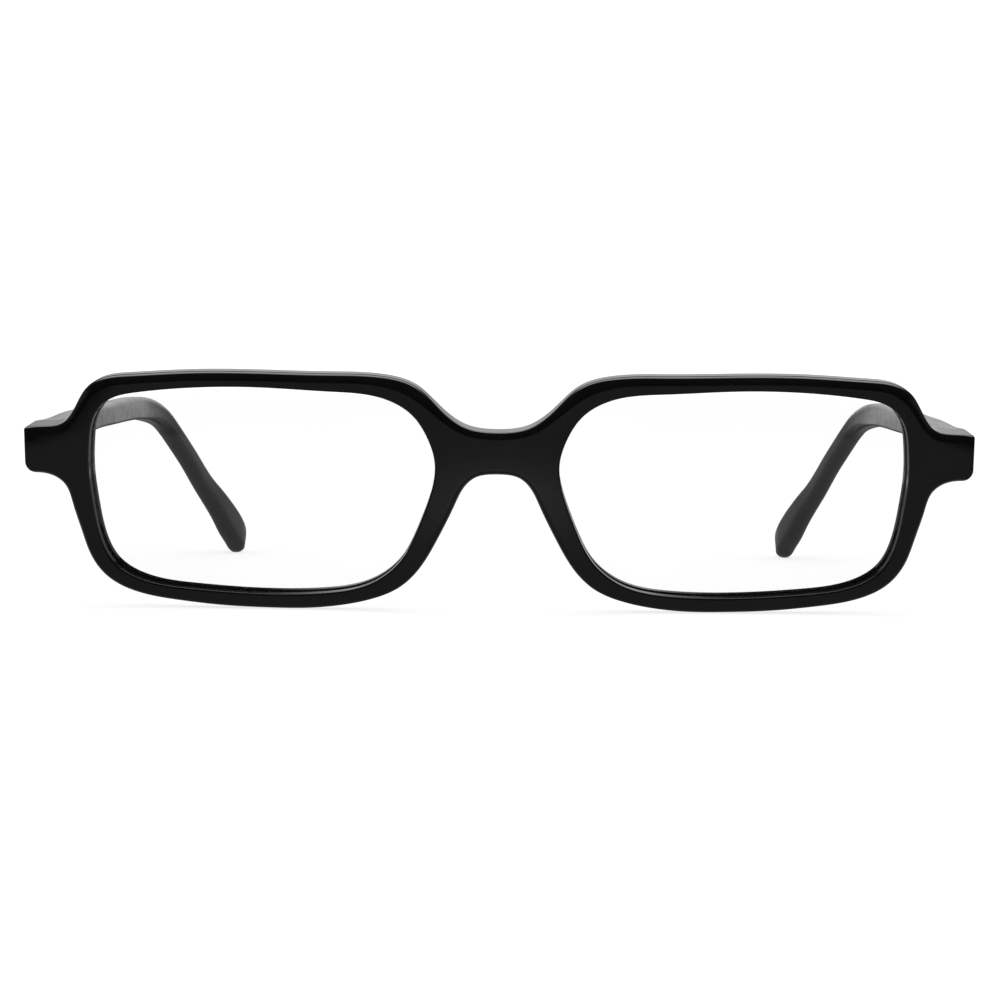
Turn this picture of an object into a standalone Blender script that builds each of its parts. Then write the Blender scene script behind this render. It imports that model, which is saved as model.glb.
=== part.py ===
"""Eyeglasses frame, acetate, full rim, 52-18-145 class.

World frame: metres, +Z up, the spectacles stand on their rim bottoms and
temple tips on Z = 0, the front faces -Y, the temples run back along +Y, and
X = 0 is the mirror plane.  The wearer's right side is at -X.

Front sketch coordinates (millimetres) used for everything on the front:
  x  sideways along the front, 0 at the bridge centre
  h  height up the leaning front, 0 at the rim bottoms
  n  depth behind the front face, towards the wearer
The sketch is wrapped on a cylinder (face-form curve) and then leaned forward.
"""
import bpy
import bmesh
import math
import numpy as np
from mathutils import Vector, Matrix
from mathutils.geometry import delaunay_2d_cdt

MM = 0.001

# ---------------------------------------------------------------- dimensions
FACE_RADIUS = 550.0      # face-form curve of the front, mm
LEAN_DEG = 11.0          # the top of the front leans forward
FRONT_T = 4.0            # sheet thickness of the front
BUTT_N = 9.6             # depth of the flat butt plane behind the end pieces
BUTT_FROM = 64.15        # the end-piece build-up starts here (x)
BUTT_RAMP = 0.35         # width of the step up to the build-up
EDGE_FRONT = 0.35        # bevel on the front edges
EDGE_REAR = 0.5          # rounding on the rear edges
GROOVE_DEPTH = 0.75      # lens groove, V section
GROOVE_FRONT = 1.3
GROOVE_APEX = 2.0
GROOVE_REAR = 2.7
STAND_Y = -64.17         # puts the middle of the whole bounding box on Y = 0

# outline of one half of the front, from the bridge top outwards (x, h)
BRIDGE_TOP = (0.0, 27.1)
UPPER = [BRIDGE_TOP,
         (4.3, 27.67),    # bridge flare
         (8.4, 30.45),
         (12.0, 33.7),    # inner brow corner
         (16.6, 35.12),
         (25.0, 35.42),
         (35.0, 35.5),    # rim top
         (46.0, 35.3),
         (54.5, 34.66),
         (59.2, 33.75),   # outer brow corner
         (61.15, 32.3),
         (62.3, 30.3),
         (63.3, 28.5),    # fillet into the end piece
         (64.5, 27.25),
         (66.4, 26.7),
         (69.3, 26.5)]
END_X = 70.45            # end-piece tip
END_TOP_R = 0.45
END_BOTTOM_R = 1.7
END_BOTTOM_H = 19.55
LOWER = [(68.6, 19.55),
         (66.3, 19.2),
         (64.45, 17.9),
         (63.35, 15.0),   # temporal side
         (62.1, 10.85),
         (60.72, 7.0),
         (58.35, 4.0),    # lower outer corner
         (54.05, 1.85),
         (47.5, 0.72),
         (41.5, 0.2),
         (34.0, 0.0),     # rim bottom, the frame stands here
         (28.0, 0.1),
         (23.0, 0.65),
         (18.25, 1.75),
         (14.5, 3.45),    # lower inner corner
         (11.45, 6.4),
         (8.75, 10.95),   # nose flank
         (6.22, 16.17),
         (4.95, 18.7),
         (3.27, 20.3),    # bridge arch
         (0.0, 20.85)]

# one lens opening at the front face, starting at its nasal extreme (x, h)
OPENING = [(9.15, 22.5),
           (10.2, 26.2),
           (12.5, 29.7),
           (16.6, 32.05),
           (24.5, 32.98),
           (35.0, 33.4),
           (46.5, 33.0),
           (53.2, 32.2),
           (57.6, 30.8),
           (59.7, 28.2),
           (60.45, 24.5),
           (60.6, 20.0),
           (60.1, 15.3),
           (59.15, 10.3),
           (57.2, 6.4),
           (53.2, 3.95),
           (46.0, 2.75),
           (35.0, 2.25),
           (25.5, 2.6),
           (18.6, 4.2),
           (14.3, 7.6),
           (11.8, 12.3),
           (9.95, 17.3)]

# demo lens
LENS_T = 1.3             # thickness
LENS_BULGE = 1.6         # height of the dome over its edge
LENS_EDGE_FLAT = 0.2     # half width of the crest of the edge bevel
LENS_BEVEL = 0.55        # the bevelled edge reaches this far into the groove

# nose pads, acetate blocks bonded behind the nasal rims
PAD_H = (6.2, 19.2)      # lower and upper end (h)
PAD_RISE = 3.6           # how far they stand behind the rim
PAD_WIDTH = 3.3          # width at the foot

# hinge, five barrels, axis parallel to the leaning front
HINGE_X = 61.8           # axis position sideways
HINGE_N = 9.6            # axis position in depth, in the butt plane
HINGE_H = 22.8          # middle of the hinge
BARREL_R = 1.15
BORE_R = 0.62
BARREL_L = 0.98
BARREL_GAP = 0.06
LEAF_T = 0.95
LEAF_CLEAR = 0.10        # front leaf sits this far below the butt plane
BUTT_GAP = 0.15          # open joint line between end piece and temple
FRONT_LEAF_END = 68.1    # outer end of the front leaf (x)
TEMPLE_LEAF_END = 17.0   # rear end of the temple leaf (n)
POCKET_FIT = 0.06        # clearance around the leaves in their pockets
FOOT_DEPTH = 1.1         # anchor foot under each leaf
SCREW_R = 0.55
SCREW_HEAD_R = 0.95
SCREW_HEAD_L = 0.45
SLOT_W = 0.3
SLOT_D = 0.25

# temple, stations from the butt face to the tip end.
# y behind the end-piece plane, x, z of the section centre,
# thick across, high in the plane of the bend
TEMPLE = [
    # y,     x,     z,    thick, high
    (12.0, 67.25, 25.12, 4.70, 5.46),
    (22.0, 66.95, 26.45, 4.35, 4.30),
    (34.0, 66.60, 27.47, 3.90, 3.45),
    (52.0, 66.30, 28.10, 3.70, 3.60),
    (70.0, 66.00, 28.64, 3.50, 3.87),
    (84.0, 65.42, 28.53, 3.15, 4.10),
    (93.0, 64.55, 27.65, 3.10, 4.30),
    (99.5, 63.60, 25.90, 3.20, 4.40),
    (104.5, 62.35, 23.05, 3.20, 4.45),
    (111.0, 60.40, 18.55, 3.10, 4.60),
    (118.0, 58.42, 13.50, 3.15, 5.00),
    (124.0, 56.30, 9.15, 3.40, 6.10),
    (128.5, 54.80, 5.60, 3.60, 7.00),
    (131.3, 53.85, 3.15, 3.50, 6.95),
    (132.4, 53.62, 1.95, 3.05, 6.05),
    (133.0, 53.50, 1.20, 1.95, 3.80),
    (133.25, 53.45, 0.88, 0.80, 1.60),
]
TEMPLE_START = (65.0, 70.0, 19.65, 26.4)    # butt face: inner x, outer x, bottom h, top h
CORNER_TOP = (1.0, 1.5)    # rounding of the temple section along its top: straight part, drop
CORNER_LOW = (0.45, 1.6)   # and along its bottom
CORNER_TURN = (80.0, 98.0) # where one changes into the other
CORE_W = 1.2             # core wire, round, sits in the middle of the temple
CORE_FIT = 0.06
CORE_START = 18.5        # first and last y of the wire
CORE_END = 112.0

LEAN = math.radians(LEAN_DEG)


# ------------------------------------------------------------------- curves
def cubic(points, closed=False, start=None, end=None):
    """Curvature-continuous cubic through points; returns (knots, pts, slopes)."""
    p = np.array(points, float)
    if closed:
        p = np.vstack([p, p[:1]])
    t = np.concatenate([[0.0], np.cumsum(np.linalg.norm(np.diff(p, axis=0), axis=1))])
    k = len(p)
    h = np.diff(t)
    a = np.zeros((k, k))
    b = np.zeros_like(p)
    for i in range(1, k - 1):
        a[i, i - 1] = h[i]
        a[i, i] = 2.0 * (h[i - 1] + h[i])
        a[i, i + 1] = h[i - 1]
        b[i] = 3.0 * (h[i] * (p[i] - p[i - 1]) / h[i - 1] + h[i - 1] * (p[i + 1] - p[i]) / h[i])
    if closed:
        a[0, 0] = 2.0 * (h[-1] + h[0])
        a[0, 1] = h[-1]
        a[0, k - 2] = h[0]
        b[0] = 3.0 * (h[0] * (p[0] - p[k - 2]) / h[-1] + h[-1] * (p[1] - p[0]) / h[0])
        a[k - 1, k - 1] = 1.0
        a[k - 1, 0] = -1.0
    else:
        for row, way, i, j in ((0, start, 0, 1), (k - 1, end, k - 2, k - 1)):
            if way is None:
                a[row, i] = 1.0 if row == 0 else 1.0
                a[row, j] = 2.0 if row else 1.0
                if row == 0:
                    a[row, i], a[row, j] = 2.0, 1.0
                b[row] = 3.0 * (p[j] - p[i]) / h[i]
            else:
                a[row, row] = 1.0
                b[row] = np.array(way, float) / np.linalg.norm(way)
    m = np.linalg.solve(a, b)
    return t, p, m


def curve_at(curve, s):
    t, p, m = curve
    i = int(min(max(np.searchsorted(t, s) - 1, 0), len(t) - 2))
    h = t[i + 1] - t[i]
    w = (s - t[i]) / h
    return ((2 * w**3 - 3 * w**2 + 1) * p[i] + (w**3 - 2 * w**2 + w) * h * m[i]
            + (-2 * w**3 + 3 * w**2) * p[i + 1] + (w**3 - w**2) * h * m[i + 1])


def dense(curve, step=0.08):
    n = max(8, int(curve[0][-1] / step))
    return [tuple(curve_at(curve, s)) for s in np.linspace(0.0, curve[0][-1], n)]


def thin(poly, tol, longest, keep=()):
    """Fewest vertices that stay within tol of the polyline; keep holds x values to hit."""
    q = np.array(poly)
    out = [0]
    i = 0
    while i < len(q) - 1:
        best = i + 1
        for j in range(i + 1, len(q)):
            d = q[j] - q[i]
            ln = float(np.hypot(*d))
            if ln > longest:
                break
            if j - i > 1:
                r = q[i + 1:j] - q[i]
                if np.abs(d[0] * r[:, 1] - d[1] * r[:, 0]).max() / max(ln, 1e-9) > tol:
                    break
            best = j
            if any(abs(q[j, 0] - x) < 1e-7 for x in keep):
                break
        i = best
        out.append(i)
    return [tuple(q[i]) for i in out]


def arc(cx, cy, r, a0, a1, steps):
    return [(cx + r * math.cos(math.radians(a0 + (a1 - a0) * i / steps)),
             cy + r * math.sin(math.radians(a0 + (a1 - a0) * i / steps))) for i in range(steps + 1)]


def half_outline(tol, longest):
    up = dense(cubic(UPPER, start=(1, 0), end=(1, -0.07)))
    low = dense(cubic(LOWER, start=(-1, 0), end=(-1, 0)))
    top_h = UPPER[-1][1] - 0.07 * (END_X - END_TOP_R - UPPER[-1][0])
    corner = arc(END_X - END_TOP_R, top_h - END_TOP_R, END_TOP_R, 86, 0, 10)
    foot = arc(END_X - END_BOTTOM_R, END_BOTTOM_H + END_BOTTOM_R, END_BOTTOM_R, 0, -90, 16)
    ramp = (BUTT_FROM, BUTT_FROM + BUTT_RAMP)

    def crossing(poly):
        q = []
        for a, b in zip(poly[:-1], poly[1:]):
            q.append(a)
            for x in sorted(ramp, reverse=bool(b[0] < a[0])):
                if (a[0] - x) * (b[0] - x) < 0:
                    w = (x - a[0]) / (b[0] - a[0])
                    q.append((x, a[1] + w * (b[1] - a[1])))
        return q + [poly[-1]]
    a = thin(crossing(up), tol, longest, ramp)
    b = thin(crossing(low), tol, longest, ramp)
    return a + thin(corner, tol, longest) + thin(foot, tol, longest) + b[1:]


def outer_loop(tol=0.025, longest=6.0):
    half = half_outline(tol, longest)
    return half + [(-x, h) for x, h in reversed(half[1:-1])]


def opening_loop(tol=0.025, longest=6.0):
    ring = thin(dense(cubic(OPENING, closed=True)), tol, longest)
    return ring[:-1]


def offset(loop, by):
    """Move each vertex of a closed loop along its outward normal."""
    q = np.array(loop)
    nxt = np.roll(q, -1, 0)
    area = 0.5 * np.sum(q[:, 0] * nxt[:, 1] - nxt[:, 0] * q[:, 1])
    e = nxt - q
    e /= np.linalg.norm(e, axis=1)[:, None]
    nr = np.stack([e[:, 1], -e[:, 0]], 1) * (1.0 if area > 0 else -1.0)
    v = nr + np.roll(nr, 1, 0)
    v /= np.linalg.norm(v, axis=1)[:, None]
    c = np.clip(np.sum(v * nr, 1), 0.5, 1.0)
    by = np.array(by, float) * np.ones(len(q))
    return [tuple(r) for r in q + v * (by / c)[:, None]]


# ------------------------------------------------------------ space mapping
def flat(x, n, h):
    """Leaning frame without the face-form curve, mm to mm."""
    return (x, STAND_Y + n * math.cos(LEAN) - h * math.sin(LEAN),
            LIFT + h * math.cos(LEAN) + n * math.sin(LEAN))


def wrap(x, h, n):
    """Front sketch point to world, mm."""
    a = x / FACE_RADIUS
    return flat((FACE_RADIUS - n) * math.sin(a), FACE_RADIUS - (FACE_RADIUS - n) * math.cos(a), h)


LIFT = 0.0
LIFT = -min(wrap(x, h, EDGE_FRONT)[2] for x, h in outer_loop())


def thickness(x):
    """Sheet thickness; behind the end pieces it grows to the flat butt plane."""
    w = min(max((abs(x) - BUTT_FROM) / BUTT_RAMP, 0.0), 1.0)
    butt = FACE_RADIUS - (FACE_RADIUS - BUTT_N) / math.cos(x / FACE_RADIUS)
    return FRONT_T + w * (butt - FRONT_T)


def rear_round(x):
    return EDGE_REAR if abs(x) < BUTT_FROM + BUTT_RAMP / 2 else 0.2


# ------------------------------------------------------------- mesh helpers
def make(name, verts, faces, origin=(0, 0, 0)):
    """New object from millimetre data, with its origin at a millimetre point."""
    o = Vector(origin)
    me = bpy.data.meshes.new(name)
    me.from_pydata([(Vector(v) - o) * MM for v in verts], [], faces)
    bm = bmesh.new()
    bm.from_mesh(me)
    bmesh.ops.recalc_face_normals(bm, faces=bm.faces)
    bm.to_mesh(me)
    bm.free()
    ob = bpy.data.objects.new(name, me)
    ob.location = o * MM
    bpy.context.scene.collection.objects.link(ob)
    return ob


def band(ring_a, ring_b):
    """Quads between two index rings of the same length."""
    k = len(ring_a)
    return [(ring_a[i], ring_a[(i + 1) % k], ring_b[(i + 1) % k], ring_b[i]) for i in range(k)]


def inside(pt, loop):
    x, y = pt
    c = False
    for (ax, ay), (bx, by) in zip(loop, loop[1:] + loop[:1]):
        if (ay > y) != (by > y) and x < (bx - ax) * (y - ay) / (by - ay) + ax:
            c = not c
    return c


def cap(loops, rings, extra=()):
    """Triangles filling loops[0] minus the other loops; rings hold vertex indices."""
    pts, idx, edges = [], [], []
    for loop, ring in zip(loops, rings):
        s = len(pts)
        pts += [Vector(p) for p in loop]
        idx += ring
        edges += [(s + i, s + (i + 1) % len(loop)) for i in range(len(loop))]
    edges += list(extra)
    _, _, faces, orig, _, _ = delaunay_2d_cdt(pts, edges, [], 0, 1e-6)
    out = []
    for f in faces:
        g = [orig[i][0] for i in f]
        cx = sum(pts[i][0] for i in g) / 3.0
        cy = sum(pts[i][1] for i in g) / 3.0
        if inside((cx, cy), loops[0]) and not any(inside((cx, cy), lp) for lp in loops[1:]):
            out.append(tuple(idx[i] for i in g))
    return out


def combine(base, tools, operation):
    """Exact boolean of base with the tool objects, result kept in base."""
    for t in tools:
        m = base.modifiers.new("cut", 'BOOLEAN')
        m.operation = operation
        m.solver = 'EXACT'
        m.object = t
        bpy.context.view_layer.update()
        dg = bpy.context.evaluated_depsgraph_get()
        me = bpy.data.meshes.new_from_object(base.evaluated_get(dg))
        base.modifiers.clear()
        old = base.data
        base.data = me
        me.name = base.name
        bpy.data.meshes.remove(old)
        mesh = t.data
        bpy.data.objects.remove(t)
        bpy.data.meshes.remove(mesh)
    bm = bmesh.new()
    bm.from_mesh(base.data)
    bmesh.ops.remove_doubles(bm, verts=bm.verts, dist=1e-7)
    bmesh.ops.dissolve_degenerate(bm, edges=bm.edges, dist=1e-7)
    bmesh.ops.triangulate(bm, faces=bm.faces)
    bmesh.ops.recalc_face_normals(bm, faces=bm.faces)
    bm.to_mesh(base.data)
    bm.free()
    return base


def block(name, x, n, h, origin):
    """Box in the leaning frame; x, n, h are (low, high)."""
    v = [flat(a, b, c) for a in x for b in n for c in h]
    f = [(0, 1, 3, 2), (4, 6, 7, 5), (0, 4, 5, 1), (2, 3, 7, 6), (0, 2, 6, 4), (1, 5, 7, 3)]
    return make(name, v, f, origin)


def ring_post(name, r_out, r_in, h0, h1, origin, side, segs=24):
    """Tube, or solid pin when r_in is 0, about the hinge axis."""
    def circle(r, h, turn=0.0):
        return [flat(side * (HINGE_X + r * math.cos(2 * math.pi * (i + turn) / segs)),
                     HINGE_N + r * math.sin(2 * math.pi * (i + turn) / segs), h) for i in range(segs)]
    v = circle(r_out, h0) + circle(r_out, h1)
    a, b = list(range(segs)), list(range(segs, 2 * segs))
    f = band(a, b)
    if r_in > 0:
        v += circle(r_in, h0) + circle(r_in, h1)
        c, d = list(range(2 * segs, 3 * segs)), list(range(3 * segs, 4 * segs))
        f += band(c, d) + band(a, c) + band(b, d)
    else:
        f += [tuple(a), tuple(b)]
    return make(name, v, f, origin)


def dress(ob, name, colour, rough, metal=0.0, glass=False):
    m = bpy.data.materials.new(name)
    m.use_nodes = True
    b = m.node_tree.nodes["Principled BSDF"]
    b.inputs["Base Color"].default_value = (*colour, 1.0)
    b.inputs["Roughness"].default_value = rough
    b.inputs["Metallic"].default_value = metal
    if glass:
        b.inputs["Transmission Weight"].default_value = 1.0
        b.inputs["IOR"].default_value = 1.49
    ob.data.materials.clear()
    ob.data.materials.append(m)
    return ob


# -------------------------------------------------------------- front frame
def front_frame():
    outer = outer_loop()
    hole = opening_loop()
    holes = [hole, [(-x, h) for x, h in reversed(hole)]]
    t = [thickness(x) for x, h in outer]
    er = np.array([rear_round(x) for x, h in outer])
    verts, faces = [], []

    def ring(loop2d, n):
        s = len(verts)
        verts.extend(wrap(p[0], p[1], d) for p, d in zip(loop2d, n))
        return list(range(s, s + len(loop2d)))
    k = len(outer)
    levels = [([0.0] * k, EDGE_FRONT), ([EDGE_FRONT] * k, 0.0),
              ([t[i] - er[i] for i in range(k)], 0.0),
              ([t[i] - 0.293 * er[i] for i in range(k)], 0.293 * er), (t, er)]
    loops = [offset(outer, -np.array(ins)) for _, ins in levels]
    rings = [ring(lp, n) for lp, (n, _) in zip(loops, levels)]
    for a, b in zip(rings[:-1], rings[1:]):
        faces += band(a, b)
    front_sets, rear_sets = [(loops[0], rings[0])], [(loops[-1], rings[-1])]
    for hl in holes:
        k2 = len(hl)
        lv = [(0.0, 0.3), (0.3, 0.0), (GROOVE_FRONT, 0.0), (GROOVE_APEX, GROOVE_DEPTH),
              (GROOVE_REAR, 0.0), (FRONT_T - 0.4, 0.0), (FRONT_T, 0.4)]
        lps = [offset(hl, o) for _, o in lv]
        rgs = [ring(lp, [n] * k2) for lp, (n, _) in zip(lps, lv)]
        for a, b in zip(rgs[:-1], rgs[1:]):
            faces += band(a, b)
        front_sets.append((lps[0], rgs[0]))
        rear_sets.append((lps[-1], rgs[-1]))
    faces += cap([s[0] for s in front_sets], [s[1] for s in front_sets])
    extra = []
    for x0 in (BUTT_FROM, BUTT_FROM + BUTT_RAMP, -BUTT_FROM, -BUTT_FROM - BUTT_RAMP):
        hit = [i for i, p in enumerate(outer) if abs(p[0] - x0) < 1e-6]
        extra.append((hit[0], hit[-1]))
    faces += cap([s[0] for s in rear_sets], [s[1] for s in rear_sets], extra)
    return make("front_frame", verts, faces)


def lens(side, name):
    loop = opening_loop(0.04, 6.0)
    c = np.array([35.0, 18.0])
    verts, faces = [], []

    def ring(off, n, rho):
        s = len(verts)
        lp = np.array(offset(loop, off))
        for p in c + (lp - c) * rho:
            d = n - LENS_BULGE * (1 - rho * rho)
            verts.append(wrap(side * p[0], p[1], d))
        return list(range(s, s + len(lp)))
    nf, nr = GROOVE_APEX - LENS_T / 2, GROOVE_APEX + LENS_T / 2
    steps = (0.3, 0.58, 0.82, 1.0)
    rings = [ring(-0.1, nf, r) for r in steps]
    rings.append(ring(LENS_BEVEL, GROOVE_APEX, 1.0))
    rings += [ring(-0.1, nr, r) for r in reversed(steps)]
    for a, b in zip(rings[:-1], rings[1:]):
        faces += band(a, b)
    for rg, n in ((rings[0], nf), (rings[-1], nr)):
        verts.append(wrap(side * c[0], c[1], n - LENS_BULGE))
        faces += [(rg[i], rg[(i + 1) % len(rg)], len(verts) - 1) for i in range(len(rg))]
    return make(name, verts, faces, wrap(side * c[0], c[1], GROOVE_APEX))


def nose_edge(h):
    """x of the nose-side contour at height h."""
    low = [p for p in half_outline(0.02, 2.0) if p[0] < 20 and p[1] < 20.8]
    for a, b in zip(low[:-1], low[1:]):
        if (a[1] - h) * (b[1] - h) <= 0 and a[1] != b[1]:
            return a[0] + (b[0] - a[0]) * (h - a[1]) / (b[1] - a[1])
    return low[-1][0]


def nose_pad(side, name):
    """Block on the back of the nasal rim, its crest leaning away from the nose."""
    verts, faces, rings = [], [], []
    foot = FRONT_T + 0.05
    count = 13
    for i in range(count):
        w = i / (count - 1)
        h = PAD_H[0] + (PAD_H[1] - PAD_H[0]) * w
        rise = 0.35 + (PAD_RISE - 0.35) * math.sin(math.pi * min(max(w, 0.0), 1.0)) ** 0.7
        wide = PAD_WIDTH * (0.72 + 0.28 * math.sin(math.pi * w) ** 0.5)
        e = nose_edge(h) + 0.35
        sec = [(0.0, 0.0), (0.10, 0.30), (0.28, 0.62), (0.40, 0.88), (0.52, 1.0), (0.66, 1.0),
               (0.80, 0.85), (0.92, 0.5), (1.0, 0.0)]
        s = len(verts)
        verts += [wrap(side * (e + a * wide), h, foot + b * rise) for a, b in sec]
        rings.append(list(range(s, s + len(sec))))
    for a, b in zip(rings[:-1], rings[1:]):
        faces += band(a, b)
    faces += [tuple(rings[0]), tuple(rings[-1])]
    return make(name, verts, faces, wrap(side * (nose_edge(12.7) + 1.6), 12.7, foot))


# -------------------------------------------------------------------- hinge
def barrel_span(i):
    total = 5 * BARREL_L + 4 * BARREL_GAP
    low = HINGE_H - total / 2 + i * (BARREL_L + BARREL_GAP)
    return low, low + BARREL_L


def span(side, a, b):
    return (a, b) if side > 0 else (-b, -a)


def hinge_span():
    return barrel_span(0)[0], barrel_span(4)[1]


def axis_point(side):
    return flat(side * HINGE_X, HINGE_N, HINGE_H)


FRONT_LEAF_N = (BUTT_N - LEAF_CLEAR - LEAF_T, BUTT_N - LEAF_CLEAR)
TEMPLE_LEAF_X = (TEMPLE_START[0] - 0.35, TEMPLE_START[0] - 0.35 + LEAF_T)
TAIL_N = (BUTT_N + BUTT_GAP, BUTT_N + BUTT_GAP + LEAF_T)


def front_hinge(side, name):
    o = axis_point(side)
    lo, hi = hinge_span()
    leaf = block(name, span(side, HINGE_X + BARREL_R + 0.12, FRONT_LEAF_END), FRONT_LEAF_N,
                 (lo + 0.04, hi - 0.04), o)
    tools = [block("t", span(side, HINGE_X + 3.0, FRONT_LEAF_END - 1.2),
                   (FRONT_LEAF_N[0] - FOOT_DEPTH, FRONT_LEAF_N[0] + 0.3), (lo + 1.2, hi - 1.2), o)]
    for i in (0, 2, 4):
        a, b = barrel_span(i)
        tools.append(block("t", span(side, HINGE_X + BORE_R + 0.15, HINGE_X + BARREL_R + 0.5),
                           (FRONT_LEAF_N[0] + 0.03, FRONT_LEAF_N[1] - 0.03), (a + 0.02, b - 0.02), o))
    combine(leaf, tools, 'UNION')
    tubes = [ring_post("t", BARREL_R, BORE_R, *barrel_span(i), o, side) for i in (0, 2, 4)]
    return combine(leaf, tubes, 'UNION')


def temple_hinge(side, name):
    o = axis_point(side)
    lo, hi = hinge_span()
    leaf = block(name, span(side, *TEMPLE_LEAF_X), (TAIL_N[0], TEMPLE_LEAF_END), (lo + 0.04, hi - 0.04), o)
    tools = [block("t", span(side, TEMPLE_LEAF_X[1] - 0.3, TEMPLE_LEAF_X[1] + FOOT_DEPTH * 0.7),
                   (TAIL_N[0] + 2.2, TEMPLE_LEAF_END - 1.6), (lo + 1.3, hi - 1.3), o)]
    for i in (1, 3):
        a, b = barrel_span(i)
        tools.append(block("t", span(side, HINGE_X + BORE_R + 0.15, TEMPLE_LEAF_X[0] + 0.4),
                           (TAIL_N[0] + 0.03, TAIL_N[1]), (a + 0.02, b - 0.02), o))
    combine(leaf, tools, 'UNION')
    tubes = [ring_post("t", BARREL_R, BORE_R, *barrel_span(i), o, side) for i in (1, 3)]
    return combine(leaf, tubes, 'UNION')


def hinge_screw(side, name):
    o = axis_point(side)
    lo, hi = hinge_span()
    pin = ring_post(name, SCREW_R, 0.0, lo + 0.1, hi + 0.2, o, side)
    head = ring_post("t", SCREW_HEAD_R, 0.0, hi + 0.05, hi + 0.05 + SCREW_HEAD_L, o, side)
    combine(pin, [head], 'UNION')
    slot = block("t", span(side, HINGE_X - 1.5, HINGE_X + 1.5), (HINGE_N - SLOT_W / 2, HINGE_N + SLOT_W / 2),
                 (hi + 0.05 + SCREW_HEAD_L - SLOT_D, hi + 1.5), o)
    return combine(pin, [slot], 'DIFFERENCE')


# ------------------------------------------------------------------- temple
def temple_sections(count):
    """Frames along the temple: centre, across, up, thickness, height."""
    x0, x1, h0, h1 = TEMPLE_START
    hm = (h0 + h1) / 2
    c0 = flat((x0 + x1) / 2, BUTT_N + BUTT_GAP, hm)
    first = (c0[1] - STAND_Y, c0[0], c0[2], x1 - x0, h1 - h0)
    st = [first] + list(TEMPLE)
    track = cubic([(s[1], s[0], s[2]) for s in st])
    size = cubic([(t, s[3], s[4]) for t, s in zip(track[0], st)])
    out = []
    ts = list(track[0])
    marks = [ts[0]]
    for a, b in zip(ts[:-1], ts[1:]):
        k = max(1, int(round((b - a) / ts[-1] * count)))
        marks += [a + (b - a) * (i + 1) / k for i in range(k)]
    e = 0.01
    for s in marks:
        p = curve_at(track, s)
        q = curve_at(track, min(s + e, ts[-1])) - curve_at(track, max(s - e, 0.0))
        tan = Vector(q).normalized()
        i = min(max(np.searchsorted(size[1][:, 0], s) - 1, 0), len(ts) - 2)
        w = (s - ts[i]) / (ts[i + 1] - ts[i])
        w = w * w * (3 - 2 * w) * 0.5 + w * 0.5
        th = st[i][3] * (1 - w) + st[i + 1][3] * w
        hi = st[i][4] * (1 - w) + st[i + 1][4] * w
        if s == marks[0]:
            across, up = Vector((1, 0, 0)), Vector((0, -math.sin(LEAN), math.cos(LEAN)))
        else:
            across = (Vector((1, 0, 0)) - tan * tan.x).normalized()
            up = across.cross(tan)
        out.append((Vector((p[0], p[1] + STAND_Y, p[2])), across, up, th, hi, p[1]))
    return out


def rounded(th, hi, y, per_corner=4):
    """Temple section at y: crisp below on the straight part, fully rounded on the drop."""
    w = min(max((y - CORNER_TURN[0]) / (CORNER_TURN[1] - CORNER_TURN[0]), 0.0), 1.0)
    w = w * w * (3 - 2 * w)
    top = CORNER_TOP[0] + (CORNER_TOP[1] - CORNER_TOP[0]) * w
    low = CORNER_LOW[0] + (CORNER_LOW[1] - CORNER_LOW[0]) * w
    pts = []
    for sx, sy, a0, r in ((1, 1, 0, top), (-1, 1, 90, top), (-1, -1, 180, low), (1, -1, 270, low)):
        r = min(r, th * 0.48, hi * 0.45)
        for i in range(per_corner):
            a = math.radians(a0 + 90.0 * i / (per_corner - 1))
            pts.append((sx * (th / 2 - r) + r * math.cos(a), sy * (hi / 2 - r) + r * math.sin(a)))
    return pts


def swept(sections, profile, side, verts):
    rings = []
    for c, across, up, th, hi, y in sections:
        s = len(verts)
        for a, b in profile(th, hi, y):
            v = c + across * a + up * b
            verts.append((side * v.x, v.y, v.z))
        rings.append(list(range(s, len(verts))))
    return rings


def wire_profile(r, segs=8):
    return lambda th, hi, y: [(r * math.cos(2 * math.pi * i / segs), r * math.sin(2 * math.pi * i / segs))
                           for i in range(segs)]


def temple(side, name):
    sec = temple_sections(26)
    verts, faces = [], []
    r = swept(sec, rounded, side, verts)
    for a, b in zip(r[:-1], r[1:]):
        faces += band(a, b)
    faces.append(tuple(r[-1]))
    bored = [s for s in sec if s[5] <= CORE_END + 3.0]
    bore = swept(bored, wire_profile(CORE_W / 2 + CORE_FIT), side, verts)
    for a, b in zip(bore[:-1], bore[1:]):
        faces += band(a, b)
    faces.append(tuple(bore[-1]))
    loops = [[(verts[i][0], verts[i][2]) for i in r[0]], [(verts[i][0], verts[i][2]) for i in bore[0]]]
    faces += cap(loops, [r[0], bore[0]])
    o = axis_point(side)
    ob = make(name, verts, faces, o)
    f = POCKET_FIT
    lo, hi = hinge_span()
    tools = [block("t", span(side, TEMPLE_START[0] - 2.0, TEMPLE_LEAF_X[1] + f),
                   (BUTT_N, TEMPLE_LEAF_END + f), (lo - f, hi + f), o),
             block("t", span(side, TEMPLE_LEAF_X[1] - 0.3, TEMPLE_LEAF_X[1] + FOOT_DEPTH * 0.7 + f),
                   (TAIL_N[0] + 2.2 - f, TEMPLE_LEAF_END - 1.6 + f), (lo + 1.3 - f, hi - 1.3 + f), o)]
    return combine(ob, tools, 'DIFFERENCE')


def temple_core(side, name):
    sec = [s for s in temple_sections(26) if s[5] <= CORE_END + 0.5]
    sec = sec[1:]
    verts, faces = [], []
    r = swept(sec, wire_profile(CORE_W / 2), side, verts)
    for a, b in zip(r[:-1], r[1:]):
        faces += band(a, b)
    faces += [tuple(r[0]), tuple(r[-1])]
    return make(name, verts, faces, axis_point(side))


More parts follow.
